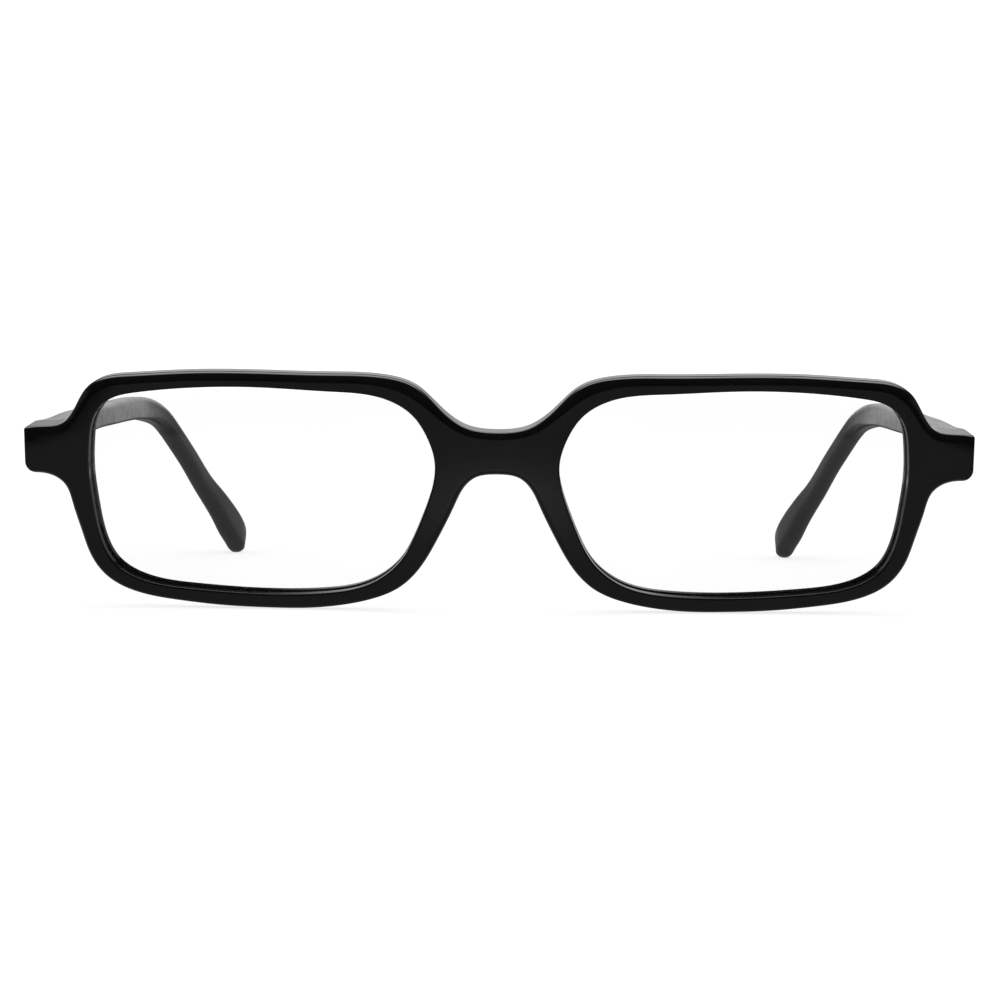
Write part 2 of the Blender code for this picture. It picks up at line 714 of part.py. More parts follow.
# -------------------------------------------------------------------- build
def build():
    for ob in list(bpy.data.objects):
        bpy.data.objects.remove(ob)
    acetate = dict(colour=(0.012, 0.012, 0.012), rough=0.12)
    metal = dict(colour=(0.62, 0.61, 0.60), rough=0.28, metal=1.0)
    front = front_frame()
    f = POCKET_FIT
    lo, hi = hinge_span()
    tools = []
    for side in (1, -1):
        tools.append(block("t", span(side, HINGE_X + 0.8, FRONT_LEAF_END + f),
                           (FRONT_LEAF_N[0] - f, BUTT_N + 1.0), (lo - f, hi + f), (0, 0, 0)))
        tools.append(block("t", span(side, HINGE_X + 3.0 - f, FRONT_LEAF_END - 1.2 + f),
                           (FRONT_LEAF_N[0] - FOOT_DEPTH - f, BUTT_N + 1.0), (lo + 1.2 - f, hi - 1.2 + f), (0, 0, 0)))
    combine(front, tools, 'DIFFERENCE')
    dress(front, "acetate_front", **acetate)
    for side, tag in ((-1, "right"), (1, "left")):
        dress(lens(side, tag + "_lens"), tag + "_demo_lens", (0.98, 0.98, 0.98), 0.02, glass=True)
        dress(nose_pad(side, tag + "_nose_pad"), tag + "_pad_acetate", **acetate)
        dress(front_hinge(side, tag + "_front_hinge"), tag + "_front_hinge_metal", **metal)
        dress(temple_hinge(side, tag + "_temple_hinge"), tag + "_temple_hinge_metal", **metal)
        dress(hinge_screw(side, tag + "_hinge_screw"), tag + "_screw_steel", **metal)
        dress(temple(side, tag + "_temple"), tag + "_temple_acetate", **acetate)
        dress(temple_core(side, tag + "_temple_core"), tag + "_core_wire_metal", **metal)


build()
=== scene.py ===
"""Eyeglasses frame, black polished acetate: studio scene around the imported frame.

Everything is in metres in the row frame: +Z up, front towards -Y, the wearer's
right at -X.  The front, temples, pads and lenses are remade here as fine
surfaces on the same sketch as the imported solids; hinges and screws stay.
"""
import bpy
import bmesh
import math
import numpy as np
from mathutils import Vector, Matrix
from mathutils.geometry import delaunay_2d_cdt
from mathutils.kdtree import KDTree


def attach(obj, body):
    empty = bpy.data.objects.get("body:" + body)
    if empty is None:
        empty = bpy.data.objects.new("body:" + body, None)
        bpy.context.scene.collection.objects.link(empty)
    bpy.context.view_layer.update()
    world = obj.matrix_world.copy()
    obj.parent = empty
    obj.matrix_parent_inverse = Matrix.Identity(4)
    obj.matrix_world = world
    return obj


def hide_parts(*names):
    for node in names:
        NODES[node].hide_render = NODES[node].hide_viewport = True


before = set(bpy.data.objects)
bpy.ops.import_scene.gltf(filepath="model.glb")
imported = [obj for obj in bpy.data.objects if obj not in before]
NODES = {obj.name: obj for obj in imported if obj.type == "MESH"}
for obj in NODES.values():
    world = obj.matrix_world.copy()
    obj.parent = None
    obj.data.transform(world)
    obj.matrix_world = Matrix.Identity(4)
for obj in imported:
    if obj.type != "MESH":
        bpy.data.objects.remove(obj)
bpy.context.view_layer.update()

MM = 0.001

# ---------------------------------------------------------------- dimensions
FACE_RADIUS = 550.0      # face-form curve of the front, mm
LEAN_DEG = 11.0          # the top of the front leans forward
FRONT_T = 4.0            # sheet thickness of the front
BUTT_N = 9.6             # depth of the flat butt plane behind the end pieces
BUTT_FROM = 64.15        # the end-piece build-up starts here (x)
BUTT_RAMP = 0.35         # width of the step up to the build-up
EDGE_FRONT = 0.35        # bevel on the front edges
EDGE_REAR = 0.5          # rounding on the rear edges
GROOVE_DEPTH = 0.75      # lens groove, V section
GROOVE_FRONT = 1.3
GROOVE_APEX = 2.0
GROOVE_REAR = 2.7
STAND_Y = -64.17         # puts the middle of the whole bounding box on Y = 0

# outline of one half of the front, from the bridge top outwards (x, h)
BRIDGE_TOP = (0.0, 27.1)
UPPER = [BRIDGE_TOP,
         (4.3, 27.67),    # bridge flare
         (8.4, 30.45),
         (12.0, 33.7),    # inner brow corner
         (16.6, 35.12),
         (25.0, 35.42),
         (35.0, 35.5),    # rim top
         (46.0, 35.3),
         (54.5, 34.66),
         (59.2, 33.75),   # outer brow corner
         (61.15, 32.3),
         (62.3, 30.3),
         (63.3, 28.5),    # fillet into the end piece
         (64.5, 27.25),
         (66.4, 26.7),
         (69.3, 26.5)]
END_X = 70.45            # end-piece tip
END_TOP_R = 0.45
END_BOTTOM_R = 1.7
END_BOTTOM_H = 19.55
LOWER = [(68.6, 19.55),
         (66.3, 19.2),
         (64.45, 17.9),
         (63.35, 15.0),   # temporal side
         (62.1, 10.85),
         (60.72, 7.0),
         (58.35, 4.0),    # lower outer corner
         (54.05, 1.85),
         (47.5, 0.72),
         (41.5, 0.2),
         (34.0, 0.0),     # rim bottom, the frame stands here
         (28.0, 0.1),
         (23.0, 0.65),
         (18.25, 1.75),
         (14.5, 3.45),    # lower inner corner
         (11.45, 6.4),
         (8.75, 10.95),   # nose flank
         (6.22, 16.17),
         (4.95, 18.7),
         (3.27, 20.3),    # bridge arch
         (0.0, 20.85)]

# one lens opening at the front face, starting at its nasal extreme (x, h)
OPENING = [(9.15, 22.5),
           (10.2, 26.2),
           (12.5, 29.7),
           (16.6, 32.05),
           (24.5, 32.98),
           (35.0, 33.4),
           (46.5, 33.0),
           (53.2, 32.2),
           (57.6, 30.8),
           (59.7, 28.2),
           (60.45, 24.5),
           (60.6, 20.0),
           (60.1, 15.3),
           (59.15, 10.3),
           (57.2, 6.4),
           (53.2, 3.95),
           (46.0, 2.75),
           (35.0, 2.25),
           (25.5, 2.6),
           (18.6, 4.2),
           (14.3, 7.6),
           (11.8, 12.3),
           (9.95, 17.3)]

# demo lens
LENS_T = 1.3             # thickness
LENS_BULGE = 1.6         # height of the dome over its edge
LENS_EDGE_FLAT = 0.2     # half width of the crest of the edge bevel
LENS_BEVEL = 0.55        # the bevelled edge reaches this far into the groove

# nose pads, acetate blocks bonded behind the nasal rims
PAD_H = (6.2, 19.2)      # lower and upper end (h)
PAD_RISE = 3.6           # how far they stand behind the rim
PAD_WIDTH = 3.3          # width at the foot

# hinge, five barrels, axis parallel to the leaning front
HINGE_X = 61.8           # axis position sideways
HINGE_N = 9.6            # axis position in depth, in the butt plane
HINGE_H = 22.8          # middle of the hinge
BARREL_R = 1.15
BORE_R = 0.62
BARREL_L = 0.98
BARREL_GAP = 0.06
LEAF_T = 0.95
LEAF_CLEAR = 0.10        # front leaf sits this far below the butt plane
BUTT_GAP = 0.15          # open joint line between end piece and temple
FRONT_LEAF_END = 68.1    # outer end of the front leaf (x)
TEMPLE_LEAF_END = 17.0   # rear end of the temple leaf (n)
POCKET_FIT = 0.06        # clearance around the leaves in their pockets
FOOT_DEPTH = 1.1         # anchor foot under each leaf
SCREW_R = 0.55
SCREW_HEAD_R = 0.95
SCREW_HEAD_L = 0.45
SLOT_W = 0.3
SLOT_D = 0.25

# temple, stations from the butt face to the tip end.
# y behind the end-piece plane, x, z of the section centre,
# thick across, high in the plane of the bend
TEMPLE = [
    # y,     x,     z,    thick, high
    (12.0, 67.25, 25.12, 4.70, 5.46),
    (22.0, 66.95, 26.45, 4.35, 4.30),
    (34.0, 66.60, 27.47, 3.90, 3.45),
    (52.0, 66.30, 28.10, 3.70, 3.60),
    (70.0, 66.00, 28.64, 3.50, 3.87),
    (84.0, 65.42, 28.53, 3.15, 4.10),
    (93.0, 64.55, 27.65, 3.10, 4.30),
    (99.5, 63.60, 25.90, 3.20, 4.40),
    (104.5, 62.35, 23.05, 3.20, 4.45),
    (111.0, 60.40, 18.55, 3.10, 4.60),
    (118.0, 58.42, 13.50, 3.15, 5.00),
    (124.0, 56.30, 9.15, 3.40, 6.10),
    (128.5, 54.80, 5.60, 3.60, 7.00),
    (131.3, 53.85, 3.15, 3.50, 6.95),
    (132.4, 53.62, 1.95, 3.05, 6.05),
    (133.0, 53.50, 1.20, 1.95, 3.80),
    (133.25, 53.45, 0.88, 0.80, 1.60),
]
TEMPLE_START = (65.0, 70.0, 19.65, 26.4)    # butt face: inner x, outer x, bottom h, top h
CORNER_TOP = (1.0, 1.5)    # rounding of the temple section along its top: straight part, drop
CORNER_LOW = (0.45, 1.6)   # and along its bottom
CORNER_TURN = (80.0, 98.0) # where one changes into the other
CORE_W = 1.2             # core wire, round, sits in the middle of the temple
CORE_FIT = 0.06
CORE_START = 18.5        # first and last y of the wire
CORE_END = 112.0

LEAN = math.radians(LEAN_DEG)


# ------------------------------------------------------------------- curves
def cubic(points, closed=False, start=None, end=None):
    """Curvature-continuous cubic through points; returns (knots, pts, slopes)."""
    p = np.array(points, float)
    if closed:
        p = np.vstack([p, p[:1]])
    t = np.concatenate([[0.0], np.cumsum(np.linalg.norm(np.diff(p, axis=0), axis=1))])
    k = len(p)
    h = np.diff(t)
    a = np.zeros((k, k))
    b = np.zeros_like(p)
    for i in range(1, k - 1):
        a[i, i - 1] = h[i]
        a[i, i] = 2.0 * (h[i - 1] + h[i])
        a[i, i + 1] = h[i - 1]
        b[i] = 3.0 * (h[i] * (p[i] - p[i - 1]) / h[i - 1] + h[i - 1] * (p[i + 1] - p[i]) / h[i])
    if closed:
        a[0, 0] = 2.0 * (h[-1] + h[0])
        a[0, 1] = h[-1]
        a[0, k - 2] = h[0]
        b[0] = 3.0 * (h[0] * (p[0] - p[k - 2]) / h[-1] + h[-1] * (p[1] - p[0]) / h[0])
        a[k - 1, k - 1] = 1.0
        a[k - 1, 0] = -1.0
    else:
        for row, way, i, j in ((0, start, 0, 1), (k - 1, end, k - 2, k - 1)):
            if way is None:
                a[row, i] = 1.0 if row == 0 else 1.0
                a[row, j] = 2.0 if row else 1.0
                if row == 0:
                    a[row, i], a[row, j] = 2.0, 1.0
                b[row] = 3.0 * (p[j] - p[i]) / h[i]
            else:
                a[row, row] = 1.0
                b[row] = np.array(way, float) / np.linalg.norm(way)
    m = np.linalg.solve(a, b)
    return t, p, m


def curve_at(curve, s):
    t, p, m = curve
    i = int(min(max(np.searchsorted(t, s) - 1, 0), len(t) - 2))
    h = t[i + 1] - t[i]
    w = (s - t[i]) / h
    return ((2 * w**3 - 3 * w**2 + 1) * p[i] + (w**3 - 2 * w**2 + w) * h * m[i]
            + (-2 * w**3 + 3 * w**2) * p[i + 1] + (w**3 - w**2) * h * m[i + 1])


def dense(curve, step=0.08):
    n = max(8, int(curve[0][-1] / step))
    return [tuple(curve_at(curve, s)) for s in np.linspace(0.0, curve[0][-1], n)]


def thin(poly, tol, longest, keep=()):
    """Fewest vertices that stay within tol of the polyline; keep holds x values to hit."""
    q = np.array(poly)
    out = [0]
    i = 0
    while i < len(q) - 1:
        best = i + 1
        for j in range(i + 1, len(q)):
            d = q[j] - q[i]
            ln = float(np.hypot(*d))
            if ln > longest:
                break
            if j - i > 1:
                r = q[i + 1:j] - q[i]
                if np.abs(d[0] * r[:, 1] - d[1] * r[:, 0]).max() / max(ln, 1e-9) > tol:
                    break
            best = j
            if any(abs(q[j, 0] - x) < 1e-7 for x in keep):
                break
        i = best
        out.append(i)
    return [tuple(q[i]) for i in out]


def arc(cx, cy, r, a0, a1, steps):
    return [(cx + r * math.cos(math.radians(a0 + (a1 - a0) * i / steps)),
             cy + r * math.sin(math.radians(a0 + (a1 - a0) * i / steps))) for i in range(steps + 1)]


def half_outline(tol, longest):
    up = dense(cubic(UPPER, start=(1, 0), end=(1, -0.07)))
    low = dense(cubic(LOWER, start=(-1, 0), end=(-1, 0)))
    top_h = UPPER[-1][1] - 0.07 * (END_X - END_TOP_R - UPPER[-1][0])
    corner = arc(END_X - END_TOP_R, top_h - END_TOP_R, END_TOP_R, 86, 0, 10)
    foot = arc(END_X - END_BOTTOM_R, END_BOTTOM_H + END_BOTTOM_R, END_BOTTOM_R, 0, -90, 16)
    ramp = (BUTT_FROM, BUTT_FROM + BUTT_RAMP)

    def crossing(poly):
        q = []
        for a, b in zip(poly[:-1], poly[1:]):
            q.append(a)
            for x in sorted(ramp, reverse=bool(b[0] < a[0])):
                if (a[0] - x) * (b[0] - x) < 0:
                    w = (x - a[0]) / (b[0] - a[0])
                    q.append((x, a[1] + w * (b[1] - a[1])))
        return q + [poly[-1]]
    a = thin(crossing(up), tol, longest, ramp)
    b = thin(crossing(low), tol, longest, ramp)
    return a + thin(corner, tol, longest) + thin(foot, tol, longest) + b[1:]


def outer_loop(tol=0.025, longest=6.0):
    half = half_outline(tol, longest)
    return half + [(-x, h) for x, h in reversed(half[1:-1])]


def opening_loop(tol=0.025, longest=6.0):
    ring = thin(dense(cubic(OPENING, closed=True)), tol, longest)
    return ring[:-1]


def offset(loop, by):
    """Move each vertex of a closed loop along its outward normal."""
    q = np.array(loop)
    nxt = np.roll(q, -1, 0)
    area = 0.5 * np.sum(q[:, 0] * nxt[:, 1] - nxt[:, 0] * q[:, 1])
    e = nxt - q
    e /= np.linalg.norm(e, axis=1)[:, None]
    nr = np.stack([e[:, 1], -e[:, 0]], 1) * (1.0 if area > 0 else -1.0)
    v = nr + np.roll(nr, 1, 0)
    v /= np.linalg.norm(v, axis=1)[:, None]
    c = np.clip(np.sum(v * nr, 1), 0.5, 1.0)
    by = np.array(by, float) * np.ones(len(q))
    return [tuple(r) for r in q + v * (by / c)[:, None]]


# ------------------------------------------------------------ space mapping
def flat(x, n, h):
    """Leaning frame without the face-form curve, mm to mm."""
    return (x, STAND_Y + n * math.cos(LEAN) - h * math.sin(LEAN),
            LIFT + h * math.cos(LEAN) + n * math.sin(LEAN))


def wrap(x, h, n):
    """Front sketch point to world, mm."""
    a = x / FACE_RADIUS
    return flat((FACE_RADIUS - n) * math.sin(a), FACE_RADIUS - (FACE_RADIUS - n) * math.cos(a), h)


LIFT = 0.0
LIFT = -min(wrap(x, h, EDGE_FRONT)[2] for x, h in outer_loop())


def thickness(x):
    """Sheet thickness; behind the end pieces it grows to the flat butt plane."""
    w = min(max((abs(x) - BUTT_FROM) / BUTT_RAMP, 0.0), 1.0)
    butt = FACE_RADIUS - (FACE_RADIUS - BUTT_N) / math.cos(x / FACE_RADIUS)
    return FRONT_T + w * (butt - FRONT_T)


def rear_round(x):
    return EDGE_REAR if abs(x) < BUTT_FROM + BUTT_RAMP / 2 else 0.2


# ------------------------------------------------------------- mesh helpers
def make(name, verts, faces, origin=(0, 0, 0)):
    """New object from millimetre data, with its origin at a millimetre point."""
    o = Vector(origin)
    me = bpy.data.meshes.new(name)
    me.from_pydata([(Vector(v) - o) * MM for v in verts], [], faces)
    bm = bmesh.new()
    bm.from_mesh(me)
    bmesh.ops.recalc_face_normals(bm, faces=bm.faces)
    bm.to_mesh(me)
    bm.free()
    ob = bpy.data.objects.new(name, me)
    ob.location = o * MM
    bpy.context.scene.collection.objects.link(ob)
    return ob


def band(ring_a, ring_b):
    """Quads between two index rings of the same length."""
    k = len(ring_a)
    return [(ring_a[i], ring_a[(i + 1) % k], ring_b[(i + 1) % k], ring_b[i]) for i in range(k)]


def combine(base, tools, operation):
    """Exact boolean of base with the tool objects, result kept in base."""
    for t in tools:
        m = base.modifiers.new("cut", 'BOOLEAN')
        m.operation = operation
        m.solver = 'EXACT'
        m.object = t
        bpy.context.view_layer.update()
        dg = bpy.context.evaluated_depsgraph_get()
        me = bpy.data.meshes.new_from_object(base.evaluated_get(dg))
        base.modifiers.clear()
        old = base.data
        base.data = me
        me.name = base.name
        bpy.data.meshes.remove(old)
        mesh = t.data
        bpy.data.objects.remove(t)
        bpy.data.meshes.remove(mesh)
    bm = bmesh.new()
    bm.from_mesh(base.data)
    bmesh.ops.remove_doubles(bm, verts=bm.verts, dist=1e-7)
    bmesh.ops.dissolve_degenerate(bm, edges=bm.edges, dist=1e-7)
    bmesh.ops.triangulate(bm, faces=bm.faces)
    bmesh.ops.recalc_face_normals(bm, faces=bm.faces)
    bm.to_mesh(base.data)
    bm.free()
    return base


def block(name, x, n, h, origin):
    """Box in the leaning frame; x, n, h are (low, high)."""
    v = [flat(a, b, c) for a in x for b in n for c in h]
    f = [(0, 1, 3, 2), (4, 6, 7, 5), (0, 4, 5, 1), (2, 3, 7, 6), (0, 2, 6, 4), (1, 5, 7, 3)]
    return make(name, v, f, origin)


# -------------------------------------------------------------------- hinge
def barrel_span(i):
    total = 5 * BARREL_L + 4 * BARREL_GAP
    low = HINGE_H - total / 2 + i * (BARREL_L + BARREL_GAP)
    return low, low + BARREL_L


def span(side, a, b):
    return (a, b) if side > 0 else (-b, -a)


def hinge_span():
    return barrel_span(0)[0], barrel_span(4)[1]


def axis_point(side):
    return flat(side * HINGE_X, HINGE_N, HINGE_H)


FRONT_LEAF_N = (BUTT_N - LEAF_CLEAR - LEAF_T, BUTT_N - LEAF_CLEAR)
TEMPLE_LEAF_X = (TEMPLE_START[0] - 0.35, TEMPLE_START[0] - 0.35 + LEAF_T)
TAIL_N = (BUTT_N + BUTT_GAP, BUTT_N + BUTT_GAP + LEAF_T)


def rounded(th, hi, y, per_corner=4):
    """Temple section at y: crisp below on the straight part, fully rounded on the drop."""
    w = min(max((y - CORNER_TURN[0]) / (CORNER_TURN[1] - CORNER_TURN[0]), 0.0), 1.0)
    w = w * w * (3 - 2 * w)
    top = CORNER_TOP[0] + (CORNER_TOP[1] - CORNER_TOP[0]) * w
    low = CORNER_LOW[0] + (CORNER_LOW[1] - CORNER_LOW[0]) * w
    pts = []
    for sx, sy, a0, r in ((1, 1, 0, top), (-1, 1, 90, top), (-1, -1, 180, low), (1, -1, 270, low)):
        r = min(r, th * 0.48, hi * 0.45)
        for i in range(per_corner):
            a = math.radians(a0 + 90.0 * i / (per_corner - 1))
            pts.append((sx * (th / 2 - r) + r * math.cos(a), sy * (hi / 2 - r) + r * math.sin(a)))
    return pts


# ------------------------------------------------------------- fine surfaces
EDGE_HOLE = 0.30         # front rounding of the lens openings
FINE = dict(tol=0.003, longest=0.8)


def v3(a):
    return np.array(a, float)


def sketch_axes(x):
    """World directions of sideways, up and forward where the bowed face is at x."""
    a = x / FACE_RADIUS
    side = v3((math.cos(a), math.sin(a) * math.cos(LEAN), math.sin(a) * math.sin(LEAN)))
    up = v3((0.0, -math.sin(LEAN), math.cos(LEAN)))
    ahead = v3((math.sin(a), -math.cos(a) * math.cos(LEAN), -math.cos(a) * math.sin(LEAN)))
    return side, up, ahead


def loop_normals(loop):
    """Outward unit normal of a closed sketch loop at each vertex."""
    q = np.array(loop)
    nxt = np.roll(q, -1, 0)
    area = 0.5 * np.sum(q[:, 0] * nxt[:, 1] - nxt[:, 0] * q[:, 1])
    e = nxt - q
    w = 1.0 / np.maximum(np.linalg.norm(e, axis=1), 1e-9)
    e *= w[:, None]
    nr = np.stack([e[:, 1], -e[:, 0]], 1) * (1.0 if area > 0 else -1.0)
    v = nr * w[:, None] + np.roll(nr * w[:, None], 1, 0)
    return v / np.linalg.norm(v, axis=1)[:, None]


def nearest(points, loop):
    """Distance from each point to a closed loop, and the unit vector pointing at it."""
    p = np.array(points, float)
    a = np.array(loop)
    b = np.roll(a, -1, 0)
    best = np.full(len(p), 1e9)
    way = np.zeros_like(p)
    d = b - a
    dd = np.sum(d * d, 1)
    for i in range(len(a)):
        t = np.clip(((p - a[i]) @ d[i]) / dd[i], 0, 1)
        v = a[i] + t[:, None] * d[i] - p
        r = np.linalg.norm(v, axis=1)
        hit = r < best
        best[hit] = r[hit]
        way[hit] = v[hit] / np.maximum(r[hit], 1e-9)[:, None]
    return best, way


def ease(v):
    v = np.clip(v, 0.0, 1.0)
    return v * v * (3.0 - 2.0 * v)


class Shell:
    """Vertices with the normals that the smooth surface really has there."""

    def __init__(self):
        self.v, self.n, self.faces = [], [], []

    def add(self, x, h, n, normals):
        self.v.append(wrap(x, h, n))
        self.n.append(normals)
        return len(self.v) - 1

    def ring(self, loop, depth, outward, kinds):
        """kinds: list of (outward part, forward part) giving one normal each."""
        out = []
        for i, (p, d, o) in enumerate(zip(loop, depth, outward)):
            side, up, ahead = sketch_axes(p[0])
            ns = []
            for ko, kf in kinds:
                w = (side * o[0] + up * o[1]) * ko + ahead * kf
                ns.append(w / np.linalg.norm(w))
            out.append(self.add(p[0], p[1], d, ns))
        return out

    def bent(self, loop, depth, outward, ko, kf):
        """Ring whose outward and forward parts differ from vertex to vertex."""
        out = []
        for p, d, o, a, b in zip(loop, depth, outward, ko, kf):
            side, up, ahead = sketch_axes(p[0])
            w = (side * o[0] + up * o[1]) * a + ahead * b
            out.append(self.add(p[0], p[1], d, [w / np.linalg.norm(w)]))
        return out


def put_normals(ob, points, normals, limit=0.82):
    """Give the corners of ob the listed normals where a vertex and its face fit one of them."""
    me = ob.data
    tree = KDTree(len(points))
    for i, p in enumerate(points):
        tree.insert(Vector(p) * MM, i)
    tree.balance()
    near = []
    for v in me.vertices:
        co, i, d = tree.find(v.co)
        near.append(i if d < 2e-7 else -1)
    me.shade_smooth()
    auto = [Vector(c.vector) for c in me.corner_normals]
    out = []
    for p in me.polygons:
        fn = p.normal
        for li in p.loop_indices:
            vi = me.loops[li].vertex_index
            pick = None
            if near[vi] >= 0:
                best = limit
                for c in normals[near[vi]]:
                    c = Vector(c)
                    k = c.dot(fn)
                    if k > best:
                        best, pick = k, c
            if pick is None:
                pick = fn if auto[li].dot(fn) < 0.9 else auto[li]
            out.append(tuple(pick))
    me.normals_split_custom_set(out)


def grid_points(loops, step, clear):
    """Points on a regular grid inside loops[0], outside the others, clear of every loop."""
    q = np.array(loops[0])
    xs = np.arange(q[:, 0].min() + step / 2, q[:, 0].max(), step)
    hs = np.arange(q[:, 1].min() + step / 2, q[:, 1].max(), step)
    pts = np.array([(x, h) for x in xs for h in hs])
    keep = np.ones(len(pts), bool)
    for k, lp in enumerate(loops):
        a = np.array(lp)
        b = np.roll(a, -1, 0)
        c = np.zeros(len(pts), bool)
        for (ax, ay), (bx, by) in zip(a, b):
            if ay == by:
                continue
            m = ((ay > pts[:, 1]) != (by > pts[:, 1])) & (pts[:, 0] < (bx - ax) * (pts[:, 1] - ay) / (by - ay) + ax)
            c ^= m
        keep &= c if k == 0 else ~c
        d, _ = nearest(pts, lp)
        keep &= d > clear
    return [tuple(p) for p in pts[keep]]


def fill(loops, rings, loose, loose_index, extra=()):
    """Triangles between rings[0] and the others, using the loose points too."""
    pts, idx, edges = [], [], []
    for loop, ring in zip(loops, rings):
        s = len(pts)
        pts += [Vector(p) for p in loop]
        idx += ring
        edges += [(s + i, s + (i + 1) % len(loop)) for i in range(len(loop))]
    edges += list(extra)
    pts += [Vector(p) for p in loose]
    idx += list(loose_index)
    _, _, faces, orig, _, _ = delaunay_2d_cdt(pts, edges, [], 0, 1e-7)
    tri = [[orig[i][0] for i in f] for f in faces]
    mid = np.array([[sum(pts[i][0] for i in g) / 3.0, sum(pts[i][1] for i in g) / 3.0] for g in tri])
    keep = np.ones(len(tri), bool)
    for k, lp in enumerate(loops):
        a = np.array(lp)
        b = np.roll(a, -1, 0)
        c = np.zeros(len(mid), bool)
        for (ax, ay), (bx, by) in zip(a, b):
            if ay == by:
                continue
            m = ((ay > mid[:, 1]) != (by > mid[:, 1])) & (mid[:, 0] < (bx - ax) * (mid[:, 1] - ay) / (by - ay) + ax)
            c ^= m
        keep &= c if k == 0 else ~c
    return [tuple(idx[i] for i in g) for g, ok in zip(tri, keep) if ok]


def brow_edge(loop, normals):
    """Reach of the polished front rounding at each vertex: across the face and in depth.

    Deep and soft along the brow, widest at its corners, nearly square at the end corners.
    """
    x, h = np.abs(np.array(loop)[:, 0]), np.array(loop)[:, 1]

    def near(x0, h0, rx, rh):
        return np.exp(-((x - x0) / rx) ** 2 - ((h - h0) / rh) ** 2)
    across = 1.05 + 0.15 * np.array(normals)[:, 1]
    across = across + 0.60 * near(12.5, 33.0, 5.0, 3.6) + 0.50 * near(60.5, 32.5, 3.5, 3.2)
    across = across - 0.12 * near(0.0, 27.0, 6.0, 2.0)
    across = 0.4 + (across - 0.4) * (1.0 - ease((x - 68.3) / 1.4))
    return across, 0.9 + 0.9 * ease((h - 29.0) / 4.5)


